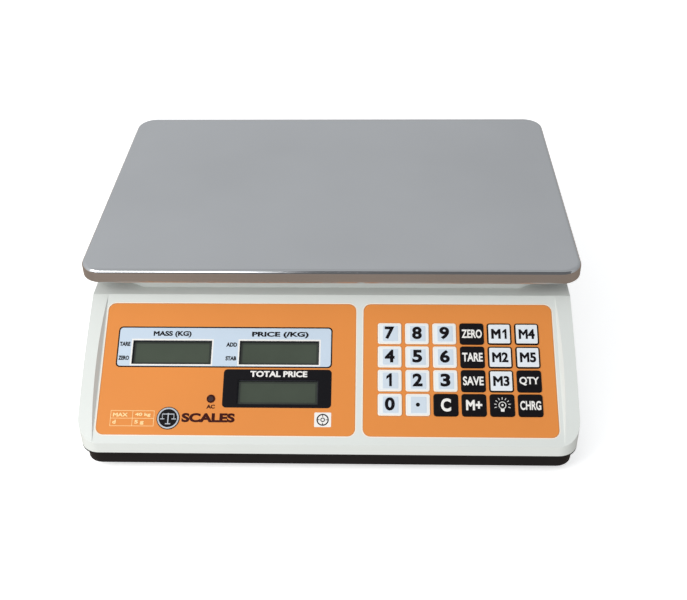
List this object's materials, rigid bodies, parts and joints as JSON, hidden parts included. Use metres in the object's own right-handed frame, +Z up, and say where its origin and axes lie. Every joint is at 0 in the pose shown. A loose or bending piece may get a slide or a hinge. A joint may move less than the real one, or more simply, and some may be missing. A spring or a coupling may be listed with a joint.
{
  "type": "price computing scale",
  "caption": "Counter scale with a stainless platter over a load cell, a sloped panel of three displays and a membrane keypad, levelling feet and a rear customer display.",
  "frame": {"origin": "on the table under the middle of the scale", "axes": "+Z up, the operator stands on the -Y side, +X to the operator's right"},
  "size_m": [0.34, 0.321, 0.104],
  "materials": {
    "white_abs": "fine-textured moulded plastic, satin",
    "black_abs": "fine-textured moulded plastic, satin",
    "switch_black": "smooth moulded plastic",
    "stainless": "fine brushed stainless sheet",
    "cast_aluminium": "as-cast",
    "machined_aluminium": "machined",
    "plated_steel": "zinc plated",
    "transformer_steel": "varnished lamination stack",
    "orange_film": "printed polycarbonate film, satin",
    "black_film": "printed polycarbonate film, satin",
    "key_pale": "embossed printed film, satin",
    "key_dark": "embossed printed film, satin",
    "membrane": "screen-printed polyester sheet",
    "liquid_crystal": "glass-fronted reflective display",
    "circuit_board": "solder-resisted laminate",
    "led_lens": "tinted lens, unlit",
    "foot_rubber": "moulded rubber",
    "battery_case": "moulded battery case",
    "cable_sheath": "screened signal cable",
    "level_bubble": "clear acrylic vial",
    "print_white": "screen-printed ink on film",
    "print_dark": "screen-printed ink on film",
    "print_blue": "screen-printed ink on film",
    "display_window": "clear window of the film"
  },
  "bodies": {
    "housing": {"base_shell": "black_abs", "upper_housing": "white_abs", "display_overlay": "orange_film", "keypad_overlay": "orange_film", "keypad_circuit": "membrane", "lcd_weight": "liquid_crystal", "lcd_unit_price": "liquid_crystal", "lcd_total": "liquid_crystal", "main_board": "circuit_board", "power_led": "led_lens", "rear_overlay": "black_film", "rear_lcd": "liquid_crystal", "rear_board": "circuit_board", "mains_inlet": "switch_black", "battery": "battery_case", "transformer": "transformer_steel", "load_cell": "machined_aluminium", "cell_bolt_base_1": "plated_steel", "cell_bolt_base_2": "plated_steel", "load_cell_cable": "cable_sheath", "level_vial": "level_bubble", "switch_frame": "black_abs"},
    "weighing_platform": {"pan_support": "cast_aluminium", "pan_pad_front_left": "foot_rubber", "pan_pad_front_right": "foot_rubber", "pan_pad_rear_left": "foot_rubber", "pan_pad_rear_right": "foot_rubber", "cell_bolt_hub_1": "plated_steel", "cell_bolt_hub_2": "plated_steel"},
    "platter": {"platter": "stainless"},
    "rocker": {"power_rocker": "switch_black"},
    "battery_door": {"battery_door": "black_abs"},
    "foot_front_left": {"foot_front_left": "foot_rubber"},
    "foot_front_right": {"foot_front_right": "foot_rubber"},
    "foot_rear_left": {"foot_rear_left": "foot_rubber"},
    "foot_rear_right": {"foot_rear_right": "foot_rubber"},
    "key_0": {"key_0": "key_pale"},
    "key_point": {"key_point": "key_pale"},
    "key_clear": {"key_clear": "key_dark"},
    "key_m_plus": {"key_m_plus": "key_dark"},
    "key_light": {"key_light": "key_dark"},
    "key_charge": {"key_charge": "key_dark"},
    "key_1": {"key_1": "key_pale"},
    "key_2": {"key_2": "key_pale"},
    "key_3": {"key_3": "key_pale"},
    "key_save": {"key_save": "key_dark"},
    "key_m3": {"key_m3": "key_pale"},
    "key_quantity": {"key_quantity": "key_dark"},
    "key_4": {"key_4": "key_pale"},
    "key_5": {"key_5": "key_pale"},
    "key_6": {"key_6": "key_pale"},
    "key_tare": {"key_tare": "key_dark"},
    "key_m2": {"key_m2": "key_pale"},
    "key_m5": {"key_m5": "key_pale"},
    "key_7": {"key_7": "key_pale"},
    "key_8": {"key_8": "key_pale"},
    "key_9": {"key_9": "key_pale"},
    "key_zero": {"key_zero": "key_dark"},
    "key_m1": {"key_m1": "key_pale"},
    "key_m4": {"key_m4": "key_pale"}
  },
  "joints": [
    {"name": "platform_deflection", "type": "slide", "parent": "housing", "child": "weighing_platform", "axis": [0, 0, 1], "range_m": [-0.00025, 0], "stiffness_N_per_m": 150000, "springref_m": 0.0001, "deforming": ["load_cell"]},
    {"name": "platter_lift", "type": "slide", "parent": "weighing_platform", "child": "platter", "axis": [0, 0, 1], "range_m": [0, 0.06]},
    {"name": "power_rocker", "type": "hinge", "parent": "housing", "child": "rocker", "pos_m": [0.1618, 0.055, 0.042], "axis": [0, 0, 1], "range_deg": [0, 16]},
    {"name": "battery_door_release", "type": "slide", "parent": "housing", "child": "battery_door", "axis": [0, 0, -1], "range_m": [0, 0.05]},
    {"name": "foot_front_left_height", "type": "slide", "parent": "housing", "child": "foot_front_left", "axis": [0, 0, -1], "range_m": [0, 0.006]},
    {"name": "foot_front_right_height", "type": "slide", "parent": "housing", "child": "foot_front_right", "axis": [0, 0, -1], "range_m": [0, 0.006]},
    {"name": "foot_rear_left_height", "type": "slide", "parent": "housing", "child": "foot_rear_left", "axis": [0, 0, -1], "range_m": [0, 0.006]},
    {"name": "foot_rear_right_height", "type": "slide", "parent": "housing", "child": "foot_rear_right", "axis": [0, 0, -1], "range_m": [0, 0.006]},
    {"name": "key_0_press", "type": "slide", "parent": "housing", "child": "key_0", "axis": [0, 0.5224, -0.8527], "range_m": [0, 0.00035], "stiffness_N_per_m": 2500, "springref_m": -0.0002},
    {"name": "key_point_press", "type": "slide", "parent": "housing", "child": "key_point", "axis": [0, 0.5224, -0.8527], "range_m": [0, 0.00035], "stiffness_N_per_m": 2500, "springref_m": -0.0002},
    {"name": "key_clear_press", "type": "slide", "parent": "housing", "child": "key_clear", "axis": [0, 0.5224, -0.8527], "range_m": [0, 0.00035], "stiffness_N_per_m": 2500, "springref_m": -0.0002},
    {"name": "key_m_plus_press", "type": "slide", "parent": "housing", "child": "key_m_plus", "axis": [0, 0.5224, -0.8527], "range_m": [0, 0.00035], "stiffness_N_per_m": 2500, "springref_m": -0.0002},
    {"name": "key_light_press", "type": "slide", "parent": "housing", "child": "key_light", "axis": [0, 0.5224, -0.8527], "range_m": [0, 0.00035], "stiffness_N_per_m": 2500, "springref_m": -0.0002},
    {"name": "key_charge_press", "type": "slide", "parent": "housing", "child": "key_charge", "axis": [0, 0.5224, -0.8527], "range_m": [0, 0.00035], "stiffness_N_per_m": 2500, "springref_m": -0.0002},
    {"name": "key_1_press", "type": "slide", "parent": "housing", "child": "key_1", "axis": [0, 0.5224, -0.8527], "range_m": [0, 0.00035], "stiffness_N_per_m": 2500, "springref_m": -0.0002},
    {"name": "key_2_press", "type": "slide", "parent": "housing", "child": "key_2", "axis": [0, 0.5224, -0.8527], "range_m": [0, 0.00035], "stiffness_N_per_m": 2500, "springref_m": -0.0002},
    {"name": "key_3_press", "type": "slide", "parent": "housing", "child": "key_3", "axis": [0, 0.5224, -0.8527], "range_m": [0, 0.00035], "stiffness_N_per_m": 2500, "springref_m": -0.0002},
    {"name": "key_save_press", "type": "slide", "parent": "housing", "child": "key_save", "axis": [0, 0.5224, -0.8527], "range_m": [0, 0.00035], "stiffness_N_per_m": 2500, "springref_m": -0.0002},
    {"name": "key_m3_press", "type": "slide", "parent": "housing", "child": "key_m3", "axis": [0, 0.5224, -0.8527], "range_m": [0, 0.00035], "stiffness_N_per_m": 2500, "springref_m": -0.0002},
    {"name": "key_quantity_press", "type": "slide", "parent": "housing", "child": "key_quantity", "axis": [0, 0.5224, -0.8527], "range_m": [0, 0.00035], "stiffness_N_per_m": 2500, "springref_m": -0.0002},
    {"name": "key_4_press", "type": "slide", "parent": "housing", "child": "key_4", "axis": [0, 0.5224, -0.8527], "range_m": [0, 0.00035], "stiffness_N_per_m": 2500, "springref_m": -0.0002},
    {"name": "key_5_press", "type": "slide", "parent": "housing", "child": "key_5", "axis": [0, 0.5224, -0.8527], "range_m": [0, 0.00035], "stiffness_N_per_m": 2500, "springref_m": -0.0002},
    {"name": "key_6_press", "type": "slide", "parent": "housing", "child": "key_6", "axis": [0, 0.5224, -0.8527], "range_m": [0, 0.00035], "stiffness_N_per_m": 2500, "springref_m": -0.0002},
    {"name": "key_tare_press", "type": "slide", "parent": "housing", "child": "key_tare", "axis": [0, 0.5224, -0.8527], "range_m": [0, 0.00035], "stiffness_N_per_m": 2500, "springref_m": -0.0002},
    {"name": "key_m2_press", "type": "slide", "parent": "housing", "child": "key_m2", "axis": [0, 0.5224, -0.8527], "range_m": [0, 0.00035], "stiffness_N_per_m": 2500, "springref_m": -0.0002},
    {"name": "key_m5_press", "type": "slide", "parent": "housing", "child": "key_m5", "axis": [0, 0.5224, -0.8527], "range_m": [0, 0.00035], "stiffness_N_per_m": 2500, "springref_m": -0.0002},
    {"name": "key_7_press", "type": "slide", "parent": "housing", "child": "key_7", "axis": [0, 0.5224, -0.8527], "range_m": [0, 0.00035], "stiffness_N_per_m": 2500, "springref_m": -0.0002},
    {"name": "key_8_press", "type": "slide", "parent": "housing", "child": "key_8", "axis": [0, 0.5224, -0.8527], "range_m": [0, 0.00035], "stiffness_N_per_m": 2500, "springref_m": -0.0002},
    {"name": "key_9_press", "type": "slide", "parent": "housing", "child": "key_9", "axis": [0, 0.5224, -0.8527], "range_m": [0, 0.00035], "stiffness_N_per_m": 2500, "springref_m": -0.0002},
    {"name": "key_zero_press", "type": "slide", "parent": "housing", "child": "key_zero", "axis": [0, 0.5224, -0.8527], "range_m": [0, 0.00035], "stiffness_N_per_m": 2500, "springref_m": -0.0002},
    {"name": "key_m1_press", "type": "slide", "parent": "housing", "child": "key_m1", "axis": [0, 0.5224, -0.8527], "range_m": [0, 0.00035], "stiffness_N_per_m": 2500, "springref_m": -0.0002},
    {"name": "key_m4_press", "type": "slide", "parent": "housing", "child": "key_m4", "axis": [0, 0.5224, -0.8527], "range_m": [0, 0.00035], "stiffness_N_per_m": 2500, "springref_m": -0.0002}
  ]
}
